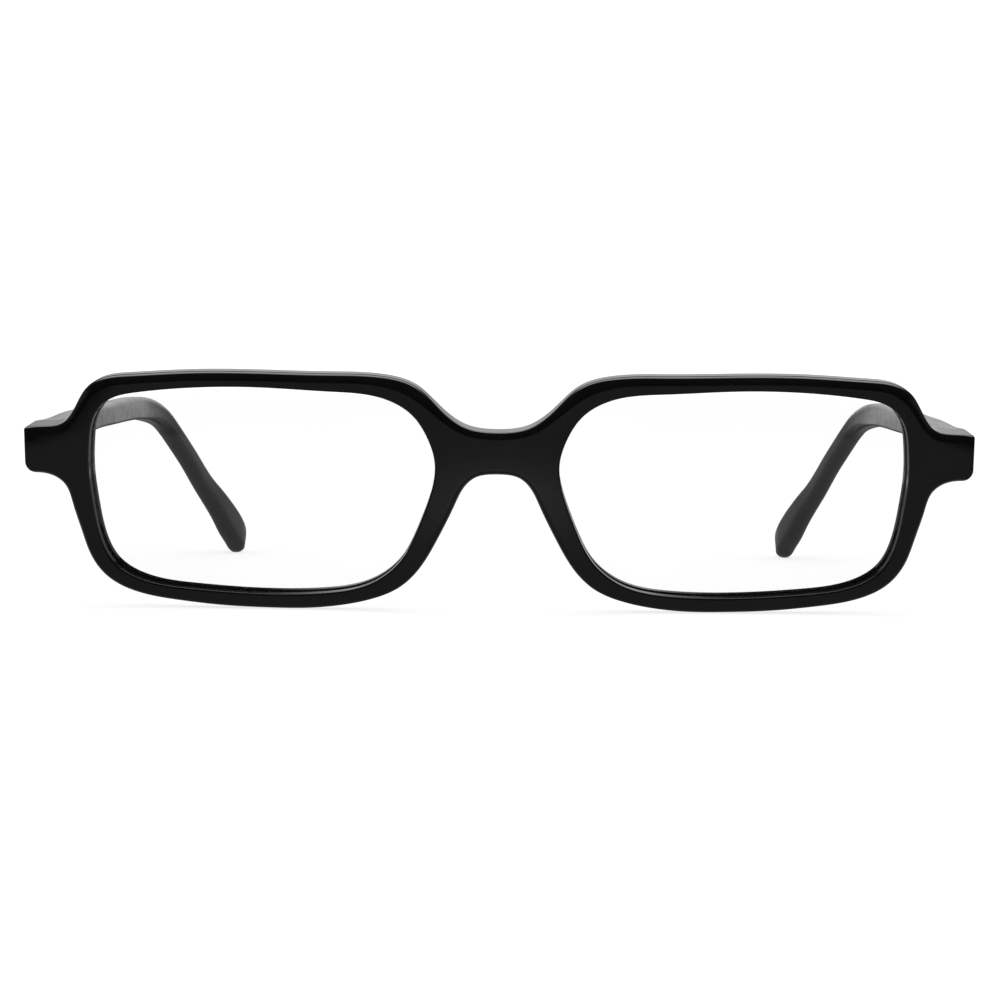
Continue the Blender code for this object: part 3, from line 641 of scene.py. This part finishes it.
def build_front(name):
    outer = outer_loop(**FINE)
    hole = opening_loop(**FINE)
    holes = [hole, [(-x, h) for x, h in reversed(hole)]]
    k = len(outer)
    t = np.array([thickness(x) for x, h in outer])
    er = np.array([rear_round(x) for x, h in outer])
    sh = Shell()
    faces = []
    no = loop_normals(outer)

    front_loops, front_rings, rear_loops, rear_rings = [], [], [], []
    # outer contour, front face inwards edge first, then the wall, then the rear
    rings = []
    across, deep = brow_edge(outer, no)
    for i in range(12):
        a = math.radians(90.0 * (11 - i) / 11)
        lp = offset(outer, -across * (1.0 - math.cos(a)))
        rings.append((lp, sh.bent(lp, deep * (1.0 - math.sin(a)), no, deep * math.cos(a), across * math.sin(a))))
    front_loops.append(rings[0][0])
    front_rings.append(rings[0][1])
    rings.append((outer, sh.ring(outer, (deep + t - er) / 2, no, [(1.0, 0.0)])))
    for i in range(6):
        a = math.radians(90.0 * i / 5)
        lp = offset(outer, -er * (1 - math.cos(a)))
        depth = t - er * (1 - math.sin(a))
        rings.append((lp, sh.ring(lp, depth, no, [(math.cos(a), -math.sin(a))])))
    rear_loops.append(rings[-1][0])
    rear_rings.append(rings[-1][1])
    for a, b in zip(rings[:-1], rings[1:]):
        faces += band(a[1], b[1])
    for hl in holes:
        k2 = len(hl)
        nh = -loop_normals(hl)      # out of the material, into the opening
        rings = []
        for i in range(7):
            a = math.radians(90.0 * (6 - i) / 6)
            lp = offset(hl, EDGE_HOLE * (1.0 - math.cos(a)))
            rings.append((lp, sh.ring(lp, [EDGE_HOLE * (1.0 - math.sin(a))] * k2, nh, [(math.cos(a), math.sin(a))])))
        front_loops.append(rings[0][0])
        front_rings.append(rings[0][1])
        g = math.atan2(GROOVE_APEX - GROOVE_FRONT, GROOVE_DEPTH)
        lv = [(GROOVE_FRONT, 0.0, [(1, 0), (math.sin(g), -math.cos(g))]),
              (GROOVE_APEX - 0.05, GROOVE_DEPTH - 0.05, [(math.sin(g), -math.cos(g))]),
              (GROOVE_APEX + 0.05, GROOVE_DEPTH - 0.05, [(math.sin(g), math.cos(g))]),
              (GROOVE_REAR, 0.0, [(1, 0), (math.sin(g), math.cos(g))]),
              ((GROOVE_REAR + FRONT_T - 0.4) / 2, 0.0, [(1, 0)])]
        for n, o, kinds in lv:
            lp = offset(hl, o)
            rings.append((lp, sh.ring(lp, [n] * k2, nh, kinds)))
        for i in range(6):
            a = math.radians(90.0 * i / 5)
            lp = offset(hl, 0.4 * (1 - math.cos(a)))
            depth = FRONT_T - 0.4 * (1 - math.sin(a))
            rings.append((lp, sh.ring(lp, [depth] * k2, nh, [(math.cos(a), -math.sin(a))])))
        for a, b in zip(rings[:-1], rings[1:]):
            faces += band(a[1], b[1])
        rear_loops.append(rings[-1][0])
        rear_rings.append(rings[-1][1])
    # front cap
    loose = []
    for lp, way in [(front_loops[0], -1.0)] + [(q, 1.0) for q in front_loops[1:]]:
        row = offset(lp, way * 0.25)[::2]
        ok = np.ones(len(row), bool)
        for other in front_loops:
            ok &= nearest(row, other)[0] > 0.22
        loose += [p for p, good in zip(row, ok) if good]
    seen, kept = set(), []
    for p in loose + grid_points(front_loops, 0.9, 0.45):
        cell = (int(p[0] / 0.15), int(p[1] / 0.15))
        if cell not in seen:
            seen.add(cell)
            kept.append(p)
    base = []
    for x, h in kept:
        side, up, ahead = sketch_axes(x)
        base.append(sh.add(x, h, 0.0, [ahead]))
    faces += fill(front_loops, front_rings, kept, base)
    # rear cap
    loose = [p for p in grid_points(rear_loops, 1.6, 0.5) if abs(abs(p[0]) - BUTT_FROM - BUTT_RAMP / 2) > 0.5]
    base = []
    for x, h in loose:
        side, up, ahead = sketch_axes(x)
        base.append(sh.add(x, h, thickness(x), [-ahead]))
    extra = []
    for x0 in (BUTT_FROM, BUTT_FROM + BUTT_RAMP, -BUTT_FROM, -BUTT_FROM - BUTT_RAMP):
        hit = [i for i, p in enumerate(outer) if abs(p[0] - x0) < 1e-6]
        extra.append((hit[0], hit[-1]))
    faces += fill(rear_loops, rear_rings, loose, base, extra)
    ob = make(name, sh.v, faces)
    return ob, sh


def cut_pockets(front):
    f = POCKET_FIT
    lo, hi = hinge_span()
    tools = []
    for side in (1, -1):
        tools.append(block("t", span(side, HINGE_X + 0.8, FRONT_LEAF_END + f),
                           (FRONT_LEAF_N[0] - f, BUTT_N + 1.0), (lo - f, hi + f), (0, 0, 0)))
        tools.append(block("t", span(side, HINGE_X + 3.0 - f, FRONT_LEAF_END - 1.2 + f),
                           (FRONT_LEAF_N[0] - FOOT_DEPTH - f, BUTT_N + 1.0), (lo + 1.2 - f, hi - 1.2 + f), (0, 0, 0)))
    return combine(front, tools, 'DIFFERENCE')


# ---------------------------------------------------------------- fine lens
def build_lens(side, name):
    loop = thin(dense(cubic(OPENING, closed=True)), 0.004, 1.2)[:-1]
    c = np.array([35.0, 18.0])
    verts, faces = [], []

    def ring(off, n, rho):
        s = len(verts)
        lp = np.array(offset(loop, off))
        for p in c + (lp - c) * rho:
            d = n - LENS_BULGE * (1 - rho * rho)
            verts.append(wrap(side * p[0], p[1], d))
        return list(range(s, s + len(lp)))
    nf, nr = GROOVE_APEX - LENS_T / 2, GROOVE_APEX + LENS_T / 2
    steps = [0.06, 0.14, 0.24, 0.34, 0.44, 0.54, 0.64, 0.73, 0.81, 0.88, 0.94, 1.0]
    rings = [ring(-0.1, nf, r) for r in steps]
    rings.append(ring(-0.04, nf + 0.05, 1.0))
    rings.append(ring(LENS_BEVEL - 0.04, GROOVE_APEX - 0.05, 1.0))
    rings.append(ring(LENS_BEVEL - 0.04, GROOVE_APEX + 0.05, 1.0))
    rings.append(ring(-0.04, nr - 0.05, 1.0))
    rings += [ring(-0.1, nr, r) for r in reversed(steps)]
    for a, b in zip(rings[:-1], rings[1:]):
        faces += band(a, b)
    for rg, n in ((rings[0], nf), (rings[-1], nr)):
        verts.append(wrap(side * c[0], c[1], n - LENS_BULGE))
        faces += [(rg[i], rg[(i + 1) % len(rg)], len(verts) - 1) for i in range(len(rg))]
    ob = make(name, verts, faces)
    soften(ob, 28)
    return ob


def soften(ob, degrees):
    ob.data.shade_smooth()
    ob.data.set_sharp_from_angle(angle=math.radians(degrees))


def nose_edge(h):
    """x of the nose-side contour at height h."""
    for a, b in zip(NOSE_SIDE[:-1], NOSE_SIDE[1:]):
        if (a[1] - h) * (b[1] - h) <= 0 and a[1] != b[1]:
            return a[0] + (b[0] - a[0]) * (h - a[1]) / (b[1] - a[1])
    return NOSE_SIDE[-1][0]


NOSE_SIDE = [p for p in half_outline(0.004, 1.0) if p[0] < 20 and p[1] < 20.8]


def build_pad(side, name):
    """Crowned block on the back of the nasal rim, blended to its foot."""
    verts, faces, rings = [], [], []
    foot = FRONT_T + 0.03
    count = 41
    sec_ctrl = cubic([(0.0, 0.0), (0.10, 0.30), (0.28, 0.62), (0.40, 0.88), (0.52, 1.0), (0.66, 1.0),
                      (0.80, 0.85), (0.92, 0.5), (1.0, 0.0)])
    sec = [tuple(curve_at(sec_ctrl, s)) for s in np.linspace(0, sec_ctrl[0][-1], 30)]
    for i in range(count):
        w = 0.5 - 0.5 * math.cos(math.pi * i / (count - 1))
        h = PAD_H[0] + (PAD_H[1] - PAD_H[0]) * w
        rise = 0.22 + (PAD_RISE - 0.22) * math.sin(math.pi * min(max(w, 0.0), 1.0)) ** 0.7
        wide = PAD_WIDTH * (0.72 + 0.28 * math.sin(math.pi * w) ** 0.5)
        e = nose_edge(h) + 0.35
        s = len(verts)
        verts += [wrap(side * (e + a * wide), h, foot + max(b, 0.0) * rise) for a, b in sec]
        rings.append(list(range(s, s + len(sec))))
    for a, b in zip(rings[:-1], rings[1:]):
        faces += band(a, b)
    faces += [tuple(rings[0]), tuple(rings[-1])]
    ob = make(name, verts, faces)
    soften(ob, 50)
    return ob


# -------------------------------------------------------------- fine temple
def temple_track():
    x0, x1, h0, h1 = TEMPLE_START
    hm = (h0 + h1) / 2
    c0 = flat((x0 + x1) / 2, BUTT_N + BUTT_GAP, hm)
    first = (c0[1] - STAND_Y, c0[0], c0[2], x1 - x0, h1 - h0)
    st = [first] + list(TEMPLE)
    return st, cubic([(s[1], s[0], s[2]) for s in st])


def fine_sections(step):
    """Frames along the temple at an even step: centre, across, up, thickness, height."""
    st, track = temple_track()
    ts = list(track[0])
    count = int(ts[-1] / step)
    out = []
    e = 0.01
    for k in range(count + 1):
        s = ts[-1] * k / count
        p = curve_at(track, s)
        q = curve_at(track, min(s + e, ts[-1])) - curve_at(track, max(s - e, 0.0))
        tan = Vector(q).normalized()
        i = min(max(np.searchsorted(ts, s) - 1, 0), len(ts) - 2)
        th, hi = section_size(st, ts, s)
        if k == 0:
            across, up = Vector((1, 0, 0)), Vector((0, -math.sin(LEAN), math.cos(LEAN)))
        else:
            across = (Vector((1, 0, 0)) - tan * tan.x).normalized()
            up = across.cross(tan)
        out.append((Vector((p[0], p[1] + STAND_Y, p[2])), across, up, th, hi, p[1]))
    return out


def section_size(st, ts, s):
    """Thickness and height on a monotone cubic through the stations."""
    res = []
    for col in (3, 4):
        y = np.array([r[col] for r in st])
        t = np.array(ts)
        d = np.diff(y) / np.diff(t)
        m = np.zeros(len(y))
        for i in range(1, len(y) - 1):
            m[i] = 0.0 if d[i - 1] * d[i] <= 0 else 2 * d[i - 1] * d[i] / (d[i - 1] + d[i])
        m[0], m[-1] = d[0], d[-1]
        i = int(min(max(np.searchsorted(t, s) - 1, 0), len(t) - 2))
        h = t[i + 1] - t[i]
        w = (s - t[i]) / h
        res.append(float((2 * w**3 - 3 * w**2 + 1) * y[i] + (w**3 - 2 * w**2 + w) * h * m[i]
                   + (-2 * w**3 + 3 * w**2) * y[i + 1] + (w**3 - w**2) * h * m[i + 1]))
    return res


def build_temple(side, name):
    sec = fine_sections(0.6)
    verts, faces = [], []
    rings = []

    def add(c, across, up, th, hi, y):
        s = len(verts)
        for a, b in rounded(th, hi, y, 8):
            v = c + across * a + up * b
            verts.append((side * v.x, v.y, v.z))
        rings.append(list(range(s, len(verts))))
    for j, (c, across, up, th, hi, y) in enumerate(sec):
        if j == 0:
            tan = across.cross(up) * -1.0
            add(c, across, up, th - 0.3, hi - 0.3, y)
            add(c + tan * 0.05, across, up, th - 0.1, hi - 0.1, y)
            add(c + tan * 0.16, across, up, th, hi, y)
        else:
            add(c, across, up, th, hi, y)
    for a, b in zip(rings[:-1], rings[1:]):
        faces += band(a, b)
    faces += [tuple(rings[0]), tuple(rings[-1])]
    ob = make(name, verts, faces)
    f = POCKET_FIT
    lo, hi = hinge_span()
    tools = [block("t", span(side, TEMPLE_START[0] - 2.0, TEMPLE_LEAF_X[1] + f),
                   (BUTT_N, TEMPLE_LEAF_END + f), (lo - f, hi + f), (0, 0, 0)),
             block("t", span(side, TEMPLE_LEAF_X[1] - 0.3, TEMPLE_LEAF_X[1] + FOOT_DEPTH * 0.7 + f),
                   (TAIL_N[0] + 2.2 - f, TEMPLE_LEAF_END - 1.6 + f), (lo + 1.3 - f, hi - 1.3 + f), (0, 0, 0))]
    combine(ob, tools, 'DIFFERENCE')
    soften(ob, 38)
    return ob


# ---------------------------------------------------------------- materials
def nodes_of(name):
    m = bpy.data.materials.new(name)
    m.use_nodes = True
    nt = m.node_tree
    return m, nt, nt.nodes["Principled BSDF"]


def noise(nt, scale, detail=3.0, rough=0.5, stretch=None, distortion=0.0):
    co = nt.nodes.new("ShaderNodeTexCoord")
    out = co.outputs["Object"]
    if stretch:
        mp = nt.nodes.new("ShaderNodeMapping")
        mp.inputs["Scale"].default_value = stretch
        nt.links.new(out, mp.inputs["Vector"])
        out = mp.outputs["Vector"]
    n = nt.nodes.new("ShaderNodeTexNoise")
    n.inputs["Scale"].default_value = scale
    n.inputs["Detail"].default_value = detail
    n.inputs["Roughness"].default_value = rough
    n.inputs["Distortion"].default_value = distortion
    nt.links.new(out, n.inputs["Vector"])
    return n.outputs["Fac"]


def spread(nt, fac, low, high, lo_in=0.35, hi_in=0.65):
    r = nt.nodes.new("ShaderNodeMapRange")
    r.inputs["From Min"].default_value = lo_in
    r.inputs["From Max"].default_value = hi_in
    r.inputs["To Min"].default_value = low
    r.inputs["To Max"].default_value = high
    nt.links.new(fac, r.inputs["Value"])
    return r.outputs["Result"]


def tint(nt, fac, a, b):
    r = nt.nodes.new("ShaderNodeValToRGB")
    r.color_ramp.elements[0].position = 0.3
    r.color_ramp.elements[0].color = (*a, 1.0)
    r.color_ramp.elements[1].position = 0.7
    r.color_ramp.elements[1].color = (*b, 1.0)
    nt.links.new(fac, r.inputs["Fac"])
    return r.outputs["Color"]


def bump(nt, height, strength, distance, below=None):
    b = nt.nodes.new("ShaderNodeBump")
    b.inputs["Strength"].default_value = strength
    b.inputs["Distance"].default_value = distance
    nt.links.new(height, b.inputs["Height"])
    if below is not None:
        nt.links.new(below, b.inputs["Normal"])
    return b.outputs["Normal"]


def acetate(name, r_low, r_high, bump_strength, dark=(0.0026, 0.0026, 0.0028), light=(0.0052, 0.0052, 0.0054)):
    """Tumbled and polished black acetate: soft clouding, polishing haze, hairlines."""
    m, nt, b = nodes_of(name)
    cloud = noise(nt, 90.0, 4.0, 0.55)
    haze = noise(nt, 420.0, 3.0, 0.6)
    hair = noise(nt, 700.0, 2.0, 0.5, stretch=(1.0, 0.06, 0.5), distortion=0.4)
    nt.links.new(tint(nt, cloud, dark, light), b.inputs["Base Color"])
    mix = nt.nodes.new("ShaderNodeMath")
    mix.operation = 'MULTIPLY'
    nt.links.new(haze, mix.inputs[0])
    nt.links.new(hair, mix.inputs[1])
    nt.links.new(spread(nt, mix.outputs[0], r_low, r_high, 0.15, 0.36), b.inputs["Roughness"])
    nt.links.new(bump(nt, hair, bump_strength, 0.00002, bump(nt, cloud, bump_strength, 0.00006)), b.inputs["Normal"])
    b.inputs["IOR"].default_value = 1.49
    return m


def metal(name, colour_a, colour_b, r_low, r_high, stretch):
    """Brushed nickel silver: drawn grain, small tarnish, worn bright spots."""
    m, nt, b = nodes_of(name)
    grain = noise(nt, 2600.0, 3.0, 0.6, stretch=stretch)
    tarnish = noise(nt, 500.0, 4.0, 0.6)
    nt.links.new(tint(nt, tarnish, colour_a, colour_b), b.inputs["Base Color"])
    nt.links.new(spread(nt, grain, r_low, r_high), b.inputs["Roughness"])
    nt.links.new(bump(nt, grain, 0.25, 0.00002), b.inputs["Normal"])
    b.inputs["Metallic"].default_value = 1.0
    return m


def clear_lens(name):
    """Demo lens: thin clear plate that mirrors a little, more when seen edge on."""
    m, nt, b = nodes_of(name)
    b.inputs["Base Color"].default_value = (0.97, 0.98, 0.98, 1.0)
    b.inputs["Metallic"].default_value = 1.0
    smear = noise(nt, 60.0, 3.0, 0.5)
    nt.links.new(spread(nt, smear, 0.01, 0.035), b.inputs["Roughness"])
    lw = nt.nodes.new("ShaderNodeLayerWeight")
    lw.inputs["Blend"].default_value = 0.5
    last = lw.outputs["Facing"]
    for op, k in (('POWER', 5.0), ('MULTIPLY', 0.96), ('ADD', 0.04)):
        mt = nt.nodes.new("ShaderNodeMath")
        mt.operation = op
        mt.use_clamp = True
        nt.links.new(last, mt.inputs[0])
        mt.inputs[1].default_value = k
        last = mt.outputs[0]
    nt.links.new(last, b.inputs["Alpha"])
    return m


def wear(ob, material):
    ob.data.materials.clear()
    ob.data.materials.append(material)


# ------------------------------------------------------------------- pieces
front, shell = build_front("front_body")
cut_pockets(front)
put_normals(front, shell.v, shell.n)
black = acetate("acetate_polished", 0.035, 0.075, 0.06)
wear(front, black)
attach(front, "front")
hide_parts("front_frame")

lens_glass = clear_lens("lens_clear")
temple_black = acetate("acetate_temple", 0.22, 0.28, 0.015)
pad_black = acetate("acetate_pad", 0.06, 0.12, 0.05)
hinge_metal = metal("nickel_silver_brushed", (0.40, 0.39, 0.375), (0.62, 0.60, 0.57), 0.22, 0.42, (1.0, 1.0, 0.08))
screw_metal = metal("screw_steel", (0.50, 0.50, 0.50), (0.72, 0.72, 0.71), 0.18, 0.34, (1.0, 1.0, 0.3))
wire_metal = metal("core_wire_steel", (0.42, 0.41, 0.40), (0.60, 0.59, 0.58), 0.3, 0.45, (1.0, 0.05, 1.0))

for side, tag in ((-1, "right"), (1, "left")):
    ob = build_lens(side, tag + "_lens_clear")
    wear(ob, lens_glass)
    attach(ob, "front")
    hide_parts(tag + "_lens")
    ob = build_pad(side, tag + "_pad_block")
    wear(ob, pad_black)
    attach(ob, "front")
    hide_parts(tag + "_nose_pad")
    ob = build_temple(side, tag + "_temple_arm_shell")
    wear(ob, temple_black)
    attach(ob, tag + "_temple_arm")
    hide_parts(tag + "_temple")
    for part, mat in (("front_hinge", hinge_metal), ("temple_hinge", hinge_metal),
                      ("hinge_screw", screw_metal), ("temple_core", wire_metal)):
        node = NODES[tag + "_" + part]
        for s in node.material_slots:
            s.material = mat

# -------------------------------------------------------------------- floor
def make_floor():
    bm = bmesh.new()
    bmesh.ops.create_circle(bm, cap_ends=True, segments=96, radius=4.0)
    me = bpy.data.meshes.new("studio_floor")
    bm.to_mesh(me)
    bm.free()
    ob = bpy.data.objects.new("studio_floor", me)
    bpy.context.scene.collection.objects.link(ob)
    ob.location = (0, 0, -0.00002)
    m = bpy.data.materials.new("studio_floor_white")
    m.use_nodes = True
    nt = m.node_tree
    nt.nodes.clear()
    N, L = nt.nodes.new, nt.links.new
    out = N("ShaderNodeOutputMaterial")
    lp = N("ShaderNodeLightPath")
    # seen directly: white sweep that keeps only the contact shadows
    diff = N("ShaderNodeBsdfDiffuse")
    diff.inputs["Color"].default_value = (FLOOR_D, FLOOR_D, FLOOR_D * 1.01, 1)
    glow = N("ShaderNodeEmission")
    glow.inputs["Color"].default_value = (1, 1, 1, 1)
    glow.inputs["Strength"].default_value = FLOOR_E
    seen = N("ShaderNodeAddShader")
    L(diff.outputs[0], seen.inputs[0])
    L(glow.outputs[0], seen.inputs[1])
    # mirrored in the acetate: painted light, the floor glows for reflections only: a dim painted pool in front with a
    # painted bright spot in its middle, a bright painted sweep behind
    co = N("ShaderNodeTexCoord")
    sep = N("ShaderNodeSeparateXYZ")
    L(co.outputs["Object"], sep.inputs[0])

    def calc(op, a, b=None):
        n = N("ShaderNodeMath")
        n.operation = op
        for i, v in enumerate((a, b)):
            if isinstance(v, (int, float)):
                n.inputs[i].default_value = v
            elif v is not None:
                L(v, n.inputs[i])
        return n.outputs[0]

    def step(value, start, end, low, high):
        n = N("ShaderNodeMapRange")
        n.interpolation_type = 'SMOOTHSTEP'
        for key, v in (("From Min", start), ("From Max", end), ("To Min", low), ("To Max", high)):
            n.inputs[key].default_value = v
        L(value, n.inputs["Value"])
        return n.outputs["Result"]
    wide = calc('ABSOLUTE', sep.outputs["X"])
    flare = calc('SUBTRACT', wide, step(sep.outputs["Y"], -0.126, -0.112, 0.0, 0.009))
    painted_pool = calc('MULTIPLY', step(sep.outputs["Y"], *POOL_Y), step(flare, *POOL_X))
    gx = calc('POWER', calc('DIVIDE', wide, POOL_SPOT[1]), 2.0)
    gy = calc('POWER', calc('ABSOLUTE', calc('DIVIDE', calc('SUBTRACT', sep.outputs["Y"], POOL_SPOT[0]), POOL_SPOT[2])), 2.0)
    painted_spot = calc('MULTIPLY', calc('EXPONENT', calc('MULTIPLY', calc('ADD', gx, gy), -1.0)), POOL_SPOT[3])
    near = calc('MULTIPLY', step(sep.outputs["Y"], *SWEEP_Y), step(sep.outputs["Y"], *TIP_Y))
    back = calc('ADD', near, step(sep.outputs["Y"], *BACK_Y))
    lean = calc('DIVIDE', wide, calc('MAXIMUM', calc('ADD', sep.outputs["Y"], 0.464), 0.05))
    sweep = calc('MULTIPLY', back, step(lean, *BACK_X))
    # painted floor glow, not a lamp: the pool, spot and sweep of light that only reflections see
    painted_glow = N("ShaderNodeEmission")
    painted_glow.inputs["Color"].default_value = (1, 1, 1, 1)
    L(calc('ADD', calc('ADD', painted_pool, painted_spot), sweep), painted_glow.inputs["Strength"])
    mix = N("ShaderNodeMixShader")
    L(lp.outputs["Is Camera Ray"], mix.inputs["Fac"])
    L(painted_glow.outputs[0], mix.inputs[1])
    L(seen.outputs[0], mix.inputs[2])
    L(mix.outputs[0], out.inputs["Surface"])
    me.materials.append(m)
    return ob


FLOOR_D = 0.30
FLOOR_E = 0.76
# painted light on the floor, seen only in reflections: the pool in front, its bright spot, the sweep behind
POOL_Y = (-0.262, -0.235, 0.03, 0.205)       # from, to, before, after
POOL_X = (0.086, 0.094, 1.0, 0.12)
POOL_SPOT = (-0.102, 0.014, 0.015, 0.33)     # middle, half width, half depth, extra
SWEEP_Y = (-0.0625, -0.0560, 0.0, 0.42)
TIP_Y = (-0.045, 0.005, 1.0, 0.10)
BACK_Y = (0.15, 0.90, 0.0, 0.65)
BACK_X = (0.15, 0.36, 1.0, 0.5)
make_floor()


# -------------------------------------------------------------------- world
def make_world():
    w = bpy.data.worlds.new("studio")
    bpy.context.scene.world = w
    w.use_nodes = True
    nt = w.node_tree
    nt.nodes.clear()
    N, L = nt.nodes.new, nt.links.new
    out = N("ShaderNodeOutputWorld")
    lp = N("ShaderNodeLightPath")
    co = N("ShaderNodeTexCoord")
    sep = N("ShaderNodeSeparateXYZ")
    L(co.outputs["Generated"], sep.inputs[0])

    def math_node(op, a, b=None, clamp=False):
        n = N("ShaderNodeMath")
        n.operation = op
        n.use_clamp = clamp
        for i, v in enumerate((a, b)):
            if v is None:
                continue
            if isinstance(v, (int, float)):
                n.inputs[i].default_value = v
            else:
                L(v, n.inputs[i])
        return n.outputs[0]
    # turn from the front horizon (0) over the top (90) to the back horizon (180)
    back = math_node('MULTIPLY', sep.outputs["Y"], -1.0)
    turn = math_node('ARCTAN2', math_node('MAXIMUM', sep.outputs["Z"], 0.0), back)
    pos = math_node('MULTIPLY', turn, 180.0 / math.pi)
    ax = math_node('ABSOLUTE', sep.outputs["X"])

    def step(value, start, end, low, high):
        n = N("ShaderNodeMapRange")
        n.interpolation_type = 'SMOOTHSTEP'
        for key, v in (("From Min", start), ("From Max", end), ("To Min", low), ("To Max", high)):
            n.inputs[key].default_value = v
        L(value, n.inputs["Value"])
        return n.outputs["Result"]
    # overhead softbox
    box = math_node('MULTIPLY', step(pos, 113.0, 119.0, 0.0, 1.0), step(pos, 137.0, 142.0, 1.0, 0.0))
    box = math_node('MULTIPLY', box, step(ax, *BOX_X))
    # white backdrop, darker off to the sides
    drop = math_node('MULTIPLY', step(pos, 153.0, 156.5, 0.0, 1.0), step(ax, *DROP_X))
    # low panel far out to each side
    panel = math_node('MULTIPLY', step(ax, 0.82, 0.96, 0.0, 1.0), SIDE_LEVEL)
    lit = math_node('ADD', math_node('ADD', box, drop), math_node('ADD', panel, DARK_LEVEL))
    refl = N("ShaderNodeBackground")
    L(lit, refl.inputs["Strength"])
    refl.inputs["Color"].default_value = (1.0, 0.995, 0.985, 1)
    seen = N("ShaderNodeBackground")
    seen.inputs["Color"].default_value = (1, 1, 1, 1)
    seen.inputs["Strength"].default_value = 1.25
    even = N("ShaderNodeBackground")
    even.inputs["Color"].default_value = (1, 1, 1, 1)
    even.inputs["Strength"].default_value = 1.0
    m1 = N("ShaderNodeMixShader")
    L(lp.outputs["Is Diffuse Ray"], m1.inputs["Fac"])
    L(refl.outputs[0], m1.inputs[1])
    L(even.outputs[0], m1.inputs[2])
    m2 = N("ShaderNodeMixShader")
    L(lp.outputs["Is Camera Ray"], m2.inputs["Fac"])
    L(m1.outputs[0], m2.inputs[1])
    L(seen.outputs[0], m2.inputs[2])
    L(m2.outputs[0], out.inputs["Surface"])


BOX_X = (0.36, 0.62, 2.2, 0.05)
DROP_X = (0.12, 0.34, 1.0, 0.22)
SIDE_LEVEL = 0.12
DARK_LEVEL = 0.02
make_world()

# ------------------------------------------------------------------- camera
def make_camera():
    yaw, pitch, roll = math.radians(1.051), math.radians(2.54), math.radians(0.508)
    dist = 0.400
    loc = Vector((0.000393 + dist * math.sin(yaw), STAND_Y * MM - dist * math.cos(yaw), 0.034248))
    fwd = Vector((-math.sin(yaw) * math.cos(pitch), math.cos(yaw) * math.cos(pitch), -math.sin(pitch)))
    right = Vector((math.cos(yaw), math.sin(yaw), 0.0))
    up = right.cross(fwd)
    r2 = right * math.cos(roll) + up * math.sin(roll)
    u2 = up * math.cos(roll) - right * math.sin(roll)
    cam = bpy.data.cameras.new("product_camera")
    cam.lens = 97.6
    cam.sensor_width = 36.0
    cam.clip_start, cam.clip_end = 0.01, 20.0
    ob = bpy.data.objects.new("product_camera", cam)
    bpy.context.scene.collection.objects.link(ob)
    m = Matrix((r2, u2, -fwd)).transposed().to_4x4()
    m.translation = loc
    ob.matrix_world = m
    bpy.context.scene.camera = ob


make_camera()
sc = bpy.context.scene
sc.view_settings.view_transform = 'Standard'
sc.view_settings.look = 'None'
sc.view_settings.exposure = 0.0
sc.view_settings.gamma = 1.0
